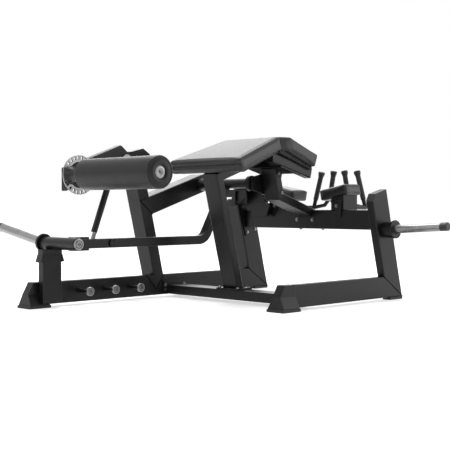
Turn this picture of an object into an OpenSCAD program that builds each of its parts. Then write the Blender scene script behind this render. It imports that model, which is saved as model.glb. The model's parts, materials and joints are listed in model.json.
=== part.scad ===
// Plate-loaded lying leg curl machine. Millimetres.
// x runs from the foot end to the head end, y to the side of the lever, z up from the floor.
// The origin is on the floor under the middle of the whole machine.

/* [Overall] */
// half of the length, from the middle to the shoe tip and to the hand grips
reach_x = 1003; // [900:1:1100]
// half of the width, from the middle to the end of each plate horn
reach_y = 972; // [850:1:1100]

/* [Ground frame] */
// middle of each ground rail, out from the centre plane
rail_y = 532; // [450:1:600]
// width of a ground rail
rail_w = 50; // [40:1:80]
// height of a ground rail
rail_h = 120; // [80:1:150]
// corner radius of the frame tubes
tube_r = 7; // [3:0.5:12]
// thickness of the rubber shoes
shoe_h = 15; // [8:1:25]
// length of a front shoe
shoe_l = 134; // [90:1:180]
// width of a front shoe
shoe_w = 116; // [70:1:150]
// tip of the near shoe, in front of the middle
near_tip = 212; // [100:1:400]
// x of the inner corner between a rail and a rear upright
corner_x = 691; // [600:1:760]
// lean of the rear uprights
rear_lean = 14.5; // [5:0.1:25]
// depth of a rear upright
rear_d = 145; // [90:1:180]
// height of the near upright at its rear edge
near_top = 636; // [550:1:700]
// height of the far upright at its rear edge
far_top = 612; // [520:1:700]
// chamfer at the top front of a rear upright
rear_chamfer = 36; // [10:1:60]
// start of the cross rail along the length
cross_x = -25; // [-80:1:40]
// width of the cross rail along the length
cross_w = 120; // [80:1:160]
// underside of the cross rail
cross_z = 18; // [15:1:40]
// height of the cross rail
cross_h = 55; // [30:1:80]

/* [Knee frame] */
// x of the knee upright front face at knee_z
knee_x = -106; // [-200:1:-40]
// height where knee_x is taken
knee_z = 74; // [50:1:120]
// lean of the knee upright, post and head
knee_lean = 13.66; // [5:0.01:25]
// depth of the knee upright
knee_d = 74; // [50:1:100]
// width of the knee upright and the inclined beam
knee_w = 115; // [60:1:140]
// depth of the inclined beam
incl_d = 106; // [70:1:130]
// slope of the inclined beam
incl_slope = 18; // [8:0.1:30]
// height of the inclined beam top line at its front end
incl_z = 572; // [500:1:650]
// rear end of the inclined beam
incl_end = 290; // [220:1:360]
// height of the underside of the knee head at its front face
head_z = 690; // [640:1:740]
// depth of the knee head
head_d = 140; // [100:1:170]
// length of the knee head along its lean
head_l = 166; // [120:1:200]
// chamfer at the top rear of the knee head
head_chamfer = 44; // [10:1:70]

/* [Centre frame] */
// width of the centre tubes
mid_w = 115; // [70:1:140]
// thickness of the centre tubes
mid_d = 50; // [35:1:70]
// x of the centre upright front face at its foot
mid_x = 4; // [-60:1:60]
// lean of the centre upright
mid_lean = 14.42; // [5:0.01:25]
// slope of the hip pad and its support
hip_slope = 19.3; // [10:0.01:35]
// x of the pad post front face at post_z
post_x = 354; // [300:1:420]
// height where post_x is taken
post_z = 562; // [500:1:620]
// lean of the pad post
post_lean = 13.17; // [5:0.01:25]
// slope down of the pad brace
brace_slope = 18.3; // [8:0.1:30]
// front face of the upper beam
beam_x = 653; // [600:1:720]
// thickness of the upper beam
beam_t = 50; // [35:1:70]
// underside of the upper beam
beam_z = 403; // [350:1:460]
// height of the upper beam
beam_h = 114; // [80:1:140]

/* [Pads] */
// x of the hip pad top edge at the foot end
hip_x = -190; // [-260:1:-120]
// height of the hip pad top at the foot end
hip_z = 785; // [700:1:850]
// length of the hip pad along its slope
hip_l = 406; // [280:1:440]
// half width of the hip pad at the foot end
hip_w0 = 281; // [180:1:300]
// half width of the hip pad at the apex
hip_w1 = 214; // [120:1:260]
// thickness of the hip pad
hip_t = 64; // [40:1:90]
// thickness of a pad board
board_t = 12; // [8:1:20]
// start of the chest pad
chest_x = 222; // [150:1:240]
// underside of the chest pad at its start
chest_z = 853; // [800:1:900]
// length of the chest pad along its underside
chest_l = 326; // [280:1:420]
// half width of the chest pad
chest_w = 200; // [140:1:240]
// thickness of the chest pad
chest_t = 71; // [50:1:90]
// bend of the chest pad
chest_bend = 20.5; // [5:0.1:35]
// length of an elbow pad
elbow_l = 150; // [100:1:200]
// inner edge of an elbow pad, out from the centre plane
elbow_y = 115; // [80:1:160]
// width of an elbow pad
elbow_w = 201; // [140:1:240]
// thickness of the elbow and side pads
elbow_t = 62; // [40:1:80]
// tilt of an elbow pad, outer side up
elbow_tilt = 11; // [0:0.5:20]

/* [Handles] */
// radius of the handle tubes
handle_r = 12.5; // [10:0.1:18]
// radius of a rubber grip
grip_r = 15.5; // [13:0.1:22]
// radius of the flared grip end
flare_r = 21; // [17:0.1:28]

/* [Plate horns] */
// radius of both plate horns
horn_r = 24; // [12:0.5:26]
// tilt of the loading horn
load_tilt = 10.2; // [0:0.1:20]
// tilt of the storage horn
store_tilt = 3.5; // [0:0.1:10]
// x of the storage horn
store_x = 698; // [640:1:740]
// height of the storage horn at its root
store_z = 404; // [350:1:460]

/* [Knee arm] */
// x of the knee pivot
knee_px = -432; // [-480:1:-380]
// height of the knee pivot
knee_pz = 795; // [750:1:840]
// slope of the roller arm
arm_slope = 20.15; // [10:0.01:30]
// height of the roller arm section
arm_h = 116; // [80:1:140]
// near face of the roller arm
arm_y = 384; // [340:1:420]
// x of the disc centre
disc_x = -772; // [-820:1:-720]
// height of the disc centre
disc_z = 704; // [650:1:750]
// radius of the selector disc
disc_r = 104; // [80:1:130]
// x of the roller axis
roller_x = -841; // [-880:1:-800]
// height of the roller axis
roller_z = 700; // [650:1:750]
// radius of the roller foam
foam_r = 78; // [50:1:90]
// near end of the roller foam
foam_y0 = -370; // [-450:1:-300]
// far end of the roller foam
foam_y1 = 200; // [150:1:250]

/* [Lever] */
// x of the lever pivot
lever_px = 258; // [200:1:300]
// height of the lever pivot
lever_pz = 672; // [600:1:700]
// near face of the lever bar
lever_y = 262; // [230:1:300]
// width and height of the lever bar
lever_t = 50; // [35:1:60]
// height of the middle of the lever bar
lever_z = 342.5; // [320:0.5:370]
// middle radius of the lever bend
lever_bend = 80; // [60:1:140]
// x of the lever sleeve
sleeve_x = -870; // [-920:1:-820]
// radius of the lever sleeve
sleeve_r = 33; // [25:1:45]
// x of the lower pivot of the link rod
link_x0 = -712; // [-780:1:-690]
// height of the lower pivot of the link rod
link_z0 = 345; // [330:1:400]
// x of the upper pivot of the link rod
link_x1 = -560; // [-620:1:-520]
// height of the upper pivot of the link rod
link_z1 = 740; // [690:1:760]
// radius of the link rod
link_r = 17; // [8:0.5:22]

/* [Fits] */
// radial clearance of a running bore
run_fit = 0.06; // [0.02:0.01:0.1]
// clearance of a soft part
soft_fit = 0.3; // [0.2:0.1:0.6]

/* [Hidden] */
big = 3000;
rail_in = rail_y - rail_w / 2;
rail_out = rail_y + rail_w / 2;
rail_top = shoe_h + rail_h;
rear_out = rear_d / cos(rear_lean);
outer_x = corner_x + rail_h * tan(rear_lean) + rear_out;
boot_l = 122;
near_start = boot_l + 7 - near_tip;
peg_start = boot_l + 7 - reach_x;
knee_out = knee_d / cos(knee_lean);
knee_y = rail_in + knee_w / 2;
seam_top = [knee_fx(rail_top) + knee_out, rail_top];
seam_bot = [knee_fx(rail_top) + knee_out - 60, shoe_h];
incl_front = [knee_fx(incl_z), incl_z];
incl_low = incl_d / cos(incl_slope);
incl_in = mitre_point();
mid_out = mid_d / cos(mid_lean);
hip_low = hip_t / cos(hip_slope);
support_top = hip_low + (board_t + soft_fit) / cos(hip_slope);
chest_flat = 81;
horn_y0 = 548;
foam_core = 24;
shaft_r = 20;
crank_r = 15;
disc_y = 350;
crank_y0 = 332;
crank_y1 = 346;
sleeve_y0 = 232;
sleeve_y1 = 541;
grip_x = reach_x - flare_r;
grip_out = [[grip_x, 205, 530], [grip_x, 139, 757]];
grip_in = [[grip_x, 205, 530], [grip_x, 115, 546], [grip_x, 74, 590], [grip_x, 42, 757]];
pin_a = 20;
pin_r = 87;
pin_out = 8;

function knee_fx(z) = knee_x - tan(knee_lean) * (z - knee_z);
function rear_fx(z) = corner_x - tan(rear_lean) * (z - rail_top);
function mid_fx(z) = mid_x - tan(mid_lean) * (z - cross_z - cross_h);
function post_fx(z) = post_x - tan(post_lean) * (z - post_z);
function incl_top(x) = incl_z + tan(incl_slope) * (x - incl_front[0]);
function hip_top(x) = hip_z + tan(hip_slope) * (x - hip_x);
function brace_mid(x) = 546 - tan(brace_slope) * (x - 520);
// where the knee upright rear face meets the underside of the inclined beam
function mitre_point() =
  let (a = tan(knee_lean), b = tan(incl_slope),
    x = (knee_x + knee_out - a * (incl_top(0) - incl_low - knee_z)) / (1 + a * b))
  [x, incl_top(x) - incl_low];
function unit(v) = v / norm(v);

// rounded rectangle, a along the first axis
module tube_face(a, b, r = tube_r) {
  square([a - 2 * r, b], center = true);
  square([a, b - 2 * r], center = true);
  for (sx = [-1, 1], sy = [-1, 1])
    translate([sx * (a / 2 - r), sy * (b / 2 - r)]) circle(r = r, $fn = 24);
}

// tube along a slope in the side view, from the point p on its middle line
module slope_tube(p, ang, len, y_mid, w, h, r = tube_r) {
  translate([p[0], y_mid, p[1]]) rotate([0, -ang, 0]) rotate([90, 0, 90])
    linear_extrude(len) tube_face(w, h, r);
}

// upright tube in a leaning frame, its front face on the frame's z axis
module lean_tube(p, lean, d0, d1, depth, y_mid, w) {
  translate([p[0], 0, p[1]]) rotate([0, -lean, 0]) translate([depth / 2, y_mid, d0])
    linear_extrude(d1 - d0) tube_face(depth, w);
}

// everything on the left of the line from p to q in the side view
module left_of(p, q) {
  translate([p[0], 0, p[1]]) rotate([0, -atan2(q[1] - p[1], q[0] - p[0]), 0])
    translate([-big, -big, 0]) cube([2 * big, 2 * big, big]);
}

// cylinder along y
module bar_y(x, z, y0, y1, r, n = 48) {
  translate([x, y0, z]) rotate([-90, 0, 0]) cylinder(h = y1 - y0, r = r, $fn = n);
}

// plain box from its two corners
module block(a, b) {
  translate(a) cube(b - a);
}

// round rod between two points
module rod(p, q, r, n = 32) {
  v = q - p;
  translate(p) rotate([0, acos(v[2] / norm(v)), atan2(v[1], v[0])])
    cylinder(h = norm(v), r = r, $fn = n);
}

// bent tube through a list of points
module run(pts, r) {
  for (i = [0 : len(pts) - 2]) rod(pts[i], pts[i + 1], r);
  for (i = [1 : len(pts) - 2]) translate(pts[i]) sphere(r = r + 0.5, $fn = 40);
}

// ringed end cap, its face toward -z
module ring_cap(r, t) {
  rotate_extrude($fn = 48) {
    polygon([[0, 1.5], [r * 0.28, 1.5], [r * 0.36, 0], [r * 0.52, 0], [r * 0.58, 1.2],
      [r * 0.72, 1.2], [r * 0.78, 0], [r - 2.5, 0], [r, 2.5], [r, t], [0, t]]);
  }
}

// bolt head with its washer, standing up from the floor of its own frame
module bolt(r = 8) {
  cylinder(h = 2, r = r * 1.3, $fn = 24);
  translate([0, 0, 2]) cylinder(h = r * 0.7, r = r, $fn = 6);
}

module bolt_at(p, dir, r = 8) {
  translate(p) rotate(dir) bolt(r);
}

// mirrored pair on both sides of the centre plane
module both() {
  children();
  mirror([0, 1, 0]) children();
}

// padded block: sections along u, drawn in at both ends, crowned on top, with an optional fold
function squash(s, m) = pow(max(0, 1 - pow(abs(s), m)), 1 / m);
function sgn_pow(c, e) = sign(c) * pow(abs(c), e);
function fold_at(u, w, l, flat, bend) =
  let (side = w * tan(bend / 2), past = u - flat)
  bend <= 0 ? [u, w] :
  past <= 0 ? [u + side * u / flat, w] :
  let (run = past - side * (1 - past / (l - flat)))
  [flat + run * cos(bend) + w * sin(bend), w * cos(bend) - run * sin(bend)];
function pad_point(s, k, n, l, w0, w1, t, crown, m0, m1, flat, bend) =
  let (m = s < 0 ? m0 : m1, u = l * (s + 1) / 2, th = 360 * k / n,
    half = (w0 + (w1 - w0) * (s + 1) / 2) * squash(s, m),
    lift = t / 2 * squash(s, 40),
    c = sgn_pow(cos(th), 0.16), d = sgn_pow(sin(th), d_exp(th)),
    v = half * c,
    w = t / 2 + lift * d + (sin(th) > 0 ? crown * squash(s, 4) * (1 - c * c) : 0),
    f = fold_at(u, w, l, flat, bend))
  [f[0], v, f[1]];
function d_exp(th) = sin(th) > 0 ? 0.2 : 0.12;

module cushion(l, w0, w1, t, crown, m0 = 7, m1 = 7, flat = 0, bend = 0, ns = 24, n = 40) {
  rows = [for (i = [1 : ns - 1]) -cos(180 * i / ns)];
  pts = concat(
    [for (s = rows, k = [0 : n - 1])
      pad_point(s, k, n, l, w0, w1, t, crown, m0, m1, flat, bend)],
    [pad_point(-1, 0, n, l, w0, w1, t, crown, m0, m1, flat, bend),
      pad_point(1, 0, n, l, w0, w1, t, crown, m0, m1, flat, bend)]);
  last = len(rows) - 1;
  first_tip = len(rows) * n;
  faces = concat(
    [for (i = [0 : last - 1], k = [0 : n - 1])
      [i * n + k, (i + 1) * n + k, (i + 1) * n + (k + 1) % n, i * n + (k + 1) % n]],
    [for (k = [0 : n - 1]) [first_tip, k, (k + 1) % n]],
    [for (k = [0 : n - 1]) [first_tip + 1, last * n + (k + 1) % n, last * n + k]]);
  polyhedron(points = pts, faces = faces, convexity = 4);
}

module foot_boot(tip, y_mid) {
  x0 = -tip + 7;
  intersection() {
    translate([x0, y_mid, 0]) rotate([90, 0, 90]) linear_extrude(boot_l)
      polygon([[-55, shoe_h], [55, shoe_h], [55, 20], [26, 75], [26, rail_top + 1],
        [-26, rail_top + 1], [-26, 75], [-55, 20]]);
    translate([0, y_mid + 100, 0]) rotate([90, 0, 0]) linear_extrude(200)
      polygon([[x0, shoe_h], [x0 + boot_l, shoe_h], [x0 + boot_l, rail_top + 1],
        [x0 + 38, rail_top + 1], [x0 + 4, 75]]);
  }
}

module near_rail() {
  color("#2b2b2d") difference() {
    slope_tube([near_start, shoe_h + rail_h / 2], 0, 1200, -rail_y, rail_w, rail_h);
    left_of([corner_x, rail_top], [outer_x, shoe_h]);
  }
}

module rear_tube(y_mid, w, top) {
  d1 = (top - rail_top - sin(rear_lean) * rear_d) / cos(rear_lean);
  difference() {
    lean_tube([corner_x, rail_top], rear_lean, -240, d1, rear_d, y_mid, w);
    left_of([outer_x, shoe_h], [corner_x, rail_top]);
    translate([corner_x, 0, rail_top]) rotate([0, -rear_lean, 0])
      translate([0, -big, d1 - rear_chamfer]) rotate([0, -45, 0])
        translate([-100, 0, 0]) cube([300, 2 * big, 200]);
  }
}

module near_upright() {
  color("#2b2b2d") rear_tube(-rail_y, rail_w, near_top);
}

module peg_rail() {
  color("#2b2b2d") difference() {
    slope_tube([peg_start, shoe_h + rail_h / 2], 0, 1200, rail_y, rail_w, rail_h);
    left_of(seam_top, seam_bot);
    left_of([knee_fx(rail_top), rail_top], [knee_fx(0), 0]);
  }
}

module rail_feet() {
  color("#2b2b2d") {
    foot_boot(near_tip, -rail_y);
    difference() {
      foot_boot(reach_x, rail_y);
      block([sleeve_x - 58.5, rail_in - 60, 25], [0, rail_in, 300]);
    }
  }
}

module rear_left_rail() {
  color("#2b2b2d") difference() {
    slope_tube([-300, shoe_h + rail_h / 2], 0, 1400, rail_y, rail_w, rail_h);
    left_of(seam_bot, seam_top);
    left_of([corner_x, rail_top], [outer_x, shoe_h]);
  }
}

module rear_left_upright() {
  color("#2b2b2d") rear_tube(knee_y, knee_w, far_top);
}

module cross_rail() {
  color("#2b2b2d") {
    translate([cross_x + cross_w / 2, 8 - rail_in, cross_z + cross_h / 2])
      rotate([-90, 0, 0]) linear_extrude(2 * rail_in - 16) tube_face(cross_w, cross_h);
    both() block([cross_x - 28, rail_in - 8, shoe_h + 4],
      [cross_x + cross_w + 28, rail_in, rail_top - 32]);
  }
}

module shoes() {
  color("#151516") {
    block([-near_tip, -rail_y - shoe_w / 2, 0], [shoe_l - near_tip, shoe_w / 2 - rail_y, shoe_h]);
    block([-reach_x, rail_y - shoe_w / 2, 0], [shoe_l - reach_x, rail_y + shoe_w / 2, shoe_h]);
  }
}

module rear_foot_pads() {
  color("#151516") both()
    block([outer_x - 124, rail_y - 26, 0], [outer_x - 3, rail_y + 26, shoe_h]);
}

module knee_upright() {
  color("#2b2b2d") difference() {
    lean_tube([knee_x, knee_z], knee_lean, -120, 700, knee_d, knee_y, knee_w);
    left_of(seam_top, seam_bot);
    left_of(incl_front, incl_in);
  }
}

module inclined_beam() {
  p = [-320, incl_top(-320) - incl_low / 2];
  color("#303033") difference() {
    slope_tube(p, incl_slope, (incl_end + 320) / cos(incl_slope), knee_y, knee_w, incl_d);
    left_of(incl_in, incl_front);
    left_of([knee_fx(incl_z - 90), incl_z - 90], [knee_fx(incl_z + 90), incl_z + 90]);
  }
}

module knee_post() {
  color("#2b2b2d") difference() {
    lean_tube([knee_x, knee_z], knee_lean, 400, (head_z - knee_z) / cos(knee_lean),
      knee_d, knee_y, knee_w);
    left_of([600, incl_top(600)], [-600, incl_top(-600)]);
  }
}

module knee_head() {
  d0 = (head_z - knee_z) / cos(knee_lean);
  color("#2b2b2d") difference() {
    lean_tube([knee_x, knee_z], knee_lean, d0, d0 + head_l, head_d, rail_y, rail_w);
    translate([knee_x, 0, knee_z]) rotate([0, -knee_lean, 0])
      translate([head_d, -big, d0 + head_l - head_chamfer]) rotate([0, 45, 0])
        translate([-200, 0, 0]) cube([300, 2 * big, 200]);
  }
}

module knee_bearing() {
  color("#2b2b2d") difference() {
    union() {
      bar_y(knee_px, knee_pz, rail_in, rail_out, 45);
      difference() {
        block([knee_px, rail_in, knee_pz - 44], [knee_px + 260, rail_out, knee_pz + 43]);
        translate([knee_x, 0, knee_z]) rotate([0, -knee_lean, 0])
          translate([0, -big, -big]) cube([big, 2 * big, 2 * big]);
      }
    }
    bar_y(knee_px, knee_pz, 0, rail_out + 1, shaft_r);
  }
}

module knee_shaft() {
  color("#8f9194") {
    bar_y(knee_px, knee_pz, arm_y - 4, rail_out, shaft_r);
    bar_y(knee_px, knee_pz, arm_y - 14, arm_y - 2.5, 31);
    difference() {
      bar_y(knee_px, knee_pz, arm_y + 54.5, rail_in, 32);
      bar_y(knee_px, knee_pz, arm_y, rail_out, shaft_r - 0.01);
    }
  }
}

module stop_post() {
  color("#2b2b2d") translate([sleeve_x, rail_in - 25, 25])
    linear_extrude(262) tube_face(117, 50);
}

module stop_cap() {
  top = lever_z + 0.5 - sleeve_r - soft_fit;
  color("#151516") translate([sleeve_x, rail_in - 25.2, 0]) difference() {
    union() {
      translate([0, 0, top - 26]) linear_extrude(26) tube_face(125, 49.4, 6);
      for (s = [-1, 1]) translate([0, 24.7, 0]) rotate([90, 0, 0]) linear_extrude(49.4)
        polygon([[s * 50, top - 26], [s * 62.5, top - 26], [s * 76, 243], [s * 50, 243]]);
    }
    translate([0, 0, 200]) linear_extrude(87.3) tube_face(117.6, 50.6);
    translate([-58.8, -40, 200]) cube([117.6, 80, 87.3]);
  }
}

module storage_pegs() {
  color("#8f9194") for (x = [-662, -486, -306]) {
    bar_y(x, 77, rail_in - 94, rail_in, 11, 32);
    bar_y(x, 77, rail_in - 5, rail_in, 17, 32);
  }
}

module peg_caps() {
  color("#c9cbcd") for (x = [-662, -486, -306])
    translate([x, rail_in - 108, 77]) rotate([-90, 0, 0]) ring_cap(24, 14);
}

module centre_upright() {
  a = tan(mid_lean);
  b = tan(hip_slope);
  top0 = hip_top(0) - support_top;
  low0 = top0 - mid_d / cos(hip_slope);
  foot = cross_z + cross_h;
  xo = (mid_x - a * (top0 - foot)) / (1 + a * b);
  xi = (mid_x + mid_out - a * (low0 - foot)) / (1 + a * b);
  color("#2b2b2d") difference() {
    lean_tube([mid_x, foot], mid_lean, -60, 760, mid_d, 0, mid_w);
    translate([-big, -big, foot + 8 - big]) cube([2 * big, 2 * big, big]);
    left_of([xo, top0 + b * xo], [xi, low0 + b * xi]);
  }
}

module base_plate() {
  color("#2b2b2d") block([cross_x + 2, -84, cross_z + cross_h],
    [cross_x + cross_w - 2, 84, cross_z + cross_h + 8]);
}

module pad_support_tube() {
  a = tan(mid_lean);
  b = tan(hip_slope);
  top0 = hip_top(0) - support_top;
  low0 = top0 - mid_d / cos(hip_slope);
  foot = cross_z + cross_h;
  xo = (mid_x - a * (top0 - foot)) / (1 + a * b);
  xi = (mid_x + mid_out - a * (low0 - foot)) / (1 + a * b);
  color("#2b2b2d") difference() {
    slope_tube([-260, (top0 + low0) / 2 - b * 260], hip_slope, 385 / cos(hip_slope), 0,
      mid_w, mid_d);
    left_of([xi, low0 + b * xi], [xo, top0 + b * xo]);
  }
}

module pad_post() {
  a = tan(post_lean);
  b = tan(brace_slope);
  half = mid_d / 2 / cos(brace_slope);
  out = mid_d / cos(post_lean);
  m0 = brace_mid(0);
  xo = (post_x - a * (m0 - half - post_z)) / (1 - a * b);
  xi = (post_x + out - a * (m0 + half - post_z)) / (1 - a * b);
  color("#2b2b2d") difference() {
    lean_tube([post_x, post_z], post_lean, -120, 260, mid_d, 0, mid_w);
    left_of([xi, m0 + half - b * xi], [xo, m0 - half - b * xo]);
    left_of([0, rail_low(0) - 8 / cos(14.5)], [600, rail_low(600) - 8 / cos(14.5)]);
  }
}

function rail_low(x) = 832 - 57 - tan(14.5) * (x - 257);

module pad_brace() {
  a = tan(post_lean);
  b = tan(brace_slope);
  half = mid_d / 2 / cos(brace_slope);
  out = mid_d / cos(post_lean);
  m0 = brace_mid(0);
  xo = (post_x - a * (m0 - half - post_z)) / (1 - a * b);
  xi = (post_x + out - a * (m0 + half - post_z)) / (1 - a * b);
  color("#333336") difference() {
    slope_tube([300, brace_mid(300)], -brace_slope, 430, 0, mid_w, mid_d);
    left_of([xo, m0 - half - b * xo], [xi, m0 + half - b * xi]);
    block([beam_x, -big, 0], [big, big, beam_z + beam_h]);
  }
}

module upper_beam() {
  color("#2b2b2d") translate([beam_x + beam_t / 2, 8 - rail_in, beam_z + beam_h / 2])
    rotate([-90, 0, 0]) linear_extrude(2 * rail_in - 16) tube_face(beam_t, beam_h);
}

module beam_flanges() {
  color("#2b2b2d") both() translate([corner_x, rail_in - 8, rail_top])
    rotate([0, -rear_lean, 0]) block([18, 0, 215], [128, 8, 425]);
}

module hip_board() {
  color("#1c1c1d") translate([hip_x, 0, hip_z]) rotate([0, -hip_slope, 0])
    translate([24, 0, -hip_t - board_t - soft_fit]) linear_extrude(board_t)
      polygon([[0, -hip_w0 + 34], [hip_l - 48, -hip_w1 + 26], [hip_l - 48, hip_w1 - 26],
        [0, hip_w0 - 34]]);
}

module hip_pad() {
  color("#3a3a3c") translate([hip_x, 0, hip_z]) rotate([0, -hip_slope, 0])
    translate([0, 0, -hip_t]) cushion(hip_l, hip_w0, hip_w1, hip_t, 5, 20, 20);
}

module chest_rails() {
  color("#2b2b2d") {
    both() difference() {
      slope_tube([150, rail_low(150) + 28.4], -14.5, 404, 115, 50, 55);
      block([0, -big, chest_z - board_t - soft_fit], [900, big, 1200]);
      block([0, -big, 0], [205, big, 1200]);
    }
    difference() {
      translate([post_fx(rail_low(310)) + 25, 0, rail_low(post_fx(rail_low(310)) + 25)])
        rotate([0, 14.5, 0]) translate([-60, -140, -8]) cube([140, 280, 8]);
      block([0, -big, 900], [900, big, 1200]);
    }
  }
}

module chest_board() {
  color("#1c1c1d") difference() {
    translate([0, 160, 0]) rotate([90, 0, 0]) linear_extrude(320)
      polygon([[chest_x + 18, chest_z - soft_fit], [chest_x + chest_flat - 28, chest_z - soft_fit],
        [chest_x + chest_flat + 28.7, chest_z - 11.5], [chest_x + chest_flat + 220, chest_z - 83.5],
        [chest_x + chest_flat + 220, chest_z - 100], [chest_x + chest_flat - 55, chest_z - board_t],
        [chest_x + 18, chest_z - board_t]]);
    both() slope_tube([150, rail_low(150) + 28.4], -14.5, 430, 115, 50.4, 55.4);
  }
}

module chest_pad() {
  color("#3a3a3c") translate([chest_x, 0, chest_z])
    cushion(chest_l, chest_w, chest_w, chest_t, 4, 14, 20, chest_flat, chest_bend);
}

module elbow_brackets() {
  color("#3c3c40") both() {
    difference() {
      block([beam_x, 200, beam_z + beam_h], [beam_x + 131, 292, 640]);
      elbow_place() translate([-40, -60, -0.3]) cube([300, 400, 200]);
    }
    translate([beam_x, 0, 0]) rotate([90, 0, -90]) linear_extrude(8)
      polygon([[-196, 573], [-284, 573], [-276, 475], [-262, 475]]);
  }
}

module elbow_place() {
  translate([beam_x + 1, elbow_y, 570]) rotate([elbow_tilt, 0, 0]) children();
}

module near_elbow_pad() {
  color("#3a3a3c") mirror([0, 1, 0]) elbow_place() translate([0, elbow_w / 2, 0])
    cushion(elbow_l, elbow_w / 2, elbow_w / 2, elbow_t, 3, 20, 20, 0, 0, 20, 32);
}

module far_elbow_pad() {
  color("#3a3a3c") elbow_place() translate([0, elbow_w / 2, 0])
    cushion(elbow_l, elbow_w / 2, elbow_w / 2, elbow_t, 3, 20, 20, 0, 0, 20, 32);
}

module side_rest_bracket() {
  color("#2b2b2d") {
    difference() {
      translate([beam_x - 8, 0, 0]) rotate([90, 0, 90]) linear_extrude(beam_t + 16)
        polygon([[318, 476], [430, 476], [454, 559], [294, 559]]);
      block([beam_x, 0, 0], [beam_x + beam_t, big, beam_z + beam_h]);
    }
    for (y = [350, 398]) block([beam_x + 13, y - 10, 559], [beam_x + 37, y + 10, 636]);
    block([568, 338, 634], [688, 498, 642.6]);
    block([546, rail_in - 16, 548], [684, rail_in - 8, 634]);
    block([560, 470, 626], [680, rail_in - 8, 634]);
  }
}

module side_rest_pad() {
  color("#3a3a3c") translate([553, 424, 643])
    cushion(150, 100, 100, 66, 3, 20, 20, 0, 0, 20, 32);
}

module handle_tubes() {
  color("#2b2b2d") both() {
    difference() {
      run([[beam_x + 125, 213.2, 532.1], grip_out[0], along(grip_out, 222)], handle_r);
      block([0, 0, 0], [beam_x + 131, 400, 900]);
    }
    run([grip_in[0] - [0, 1, 0], grip_in[1], grip_in[2], along([grip_in[2], grip_in[3]], 160)],
      handle_r - 0.5);
  }
}

function along(seg, d) = seg[0] + d * unit(seg[1] - seg[0]);

module grip(seg, d0, d1) {
  v = seg[1] - seg[0];
  translate(seg[0]) rotate([0, acos(v[2] / norm(v)), atan2(v[1], v[0])]) difference() {
    rotate_extrude($fn = 48)
      polygon([[0, d0], [grip_r, d0], [grip_r, d1 - 34], [flare_r, d1 - 14],
        [flare_r, d1 - 3], [flare_r - 3, d1], [0, d1]]);
    translate([0, 0, d0 - 1]) cylinder(h = d1 - d0 - 9, r = handle_r + soft_fit, $fn = 32);
  }
}

module hand_grips() {
  color("#151516") both() {
    grip(grip_out, 52, 236);
    grip([grip_in[2], grip_in[3]], 14, 174);
  }
}

module horn_frame(x, y, z, side, tilt) {
  translate([x, side * y, z]) rotate([-side * (90 - tilt), 0, 0]) children();
}

function horn_len(y, tilt, r) = (reach_y - y - r * sin(tilt)) / cos(tilt);

module storage_sleeve() {
  color("#202022") {
    bar_y(store_x, store_z, -rail_out - 68, -rail_out, 45);
    horn_frame(store_x, rail_out, store_z, -1, store_tilt) translate([0, 0, 64])
      cylinder(h = 10, r = 52, $fn = 64);
  }
}

module storage_horn() {
  l = horn_len(rail_out, store_tilt, horn_r - 3);
  color("#b9bbbe") horn_frame(store_x, rail_out, store_z, -1, store_tilt)
    translate([0, 0, 74]) cylinder(h = l - 119, r = horn_r, $fn = 64);
}

module storage_horn_cap() {
  l = horn_len(rail_out, store_tilt, horn_r - 3);
  color("#151516") horn_frame(store_x, rail_out, store_z, -1, store_tilt)
    translate([0, 0, l - 45]) {
      cylinder(h = 42, r = horn_r - 0.1, $fn = 48);
      translate([0, 0, 42]) cylinder(h = 3, r1 = horn_r - 0.1, r2 = horn_r - 3, $fn = 48);
    }
}

module frame_bolts() {
  color("#b9bbbe") {
    for (s = [-1, 1], z = [45, 70]) bolt_at([cross_x - 14, s * (rail_in - 8), z], [s * 90, 0, 0]);
    for (s = [-1, 1], z = [45, 70])
      bolt_at([cross_x + cross_w + 14, s * (rail_in - 8), z], [s * 90, 0, 0]);
    for (s = [-1, 1], x = [cross_x + 16, cross_x + cross_w - 18])
      bolt_at([x, s * 71, cross_z + cross_h + 8], [0, 0, 0]);
    for (p = [[346, 730], [373, 617]]) bolt_at([p[0], -mid_w / 2, p[1]], [90, 0, 0]);
    for (p = [[346, 715], [371, 620]]) bolt_at([p[0], mid_w / 2 + 12, p[1]], [-90, 0, 0]);
    for (s = [-1, 1]) bolt_at([beam_x, s * 60 + 4, 457], [0, -90, 0], 9);
    for (y = [-118, 55]) bolt_at([beam_x + 25, y, beam_z], [180, 0, 0]);
    for (s = [-1, 1], q = [[36, 236], [36, 404], [110, 236], [110, 404]])
      bolt_at([corner_x + q[0] * cos(rear_lean) - q[1] * sin(rear_lean), s * (rail_in - 8),
        rail_top + q[0] * sin(rear_lean) + q[1] * cos(rear_lean)], [s * 90, 0, 0]);
    both() bolt_at([beam_x - 8, 246, 540], [0, -90, 0]);
    bolt_at([566, rail_in - 16, 566], [90, 0, 0]);
  }
}

module lever_shaft() {
  color("#8f9194") bar_y(lever_px, lever_pz, mid_w / 2 + 12, rail_in, shaft_r);
}

module lever_bearing() {
  color("#2b2b2d") {
    difference() {
      bar_y(lever_px, lever_pz, 430, rail_in, 38);
      bar_y(lever_px, lever_pz, 400, rail_in + 1, shaft_r);
    }
    translate([0, mid_w / 2 + 12, 0]) rotate([90, 0, 0]) linear_extrude(12)
      polygon([[lever_px - 20, lever_pz + 34], [lever_px - 20, lever_pz - 34],
        [post_fx(598) + 46, 598], [post_fx(735) + 46, 735]]);
    difference() {
      bar_y(lever_px, lever_pz, mid_w / 2 + 12, 90, 45);
      bar_y(lever_px, lever_pz, 0, rail_in + 1, shaft_r);
    }
  }
}

module arm_frame() {
  translate([disc_x, 0, disc_z - 2]) rotate([0, -arm_slope, 0]) children();
}

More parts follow.
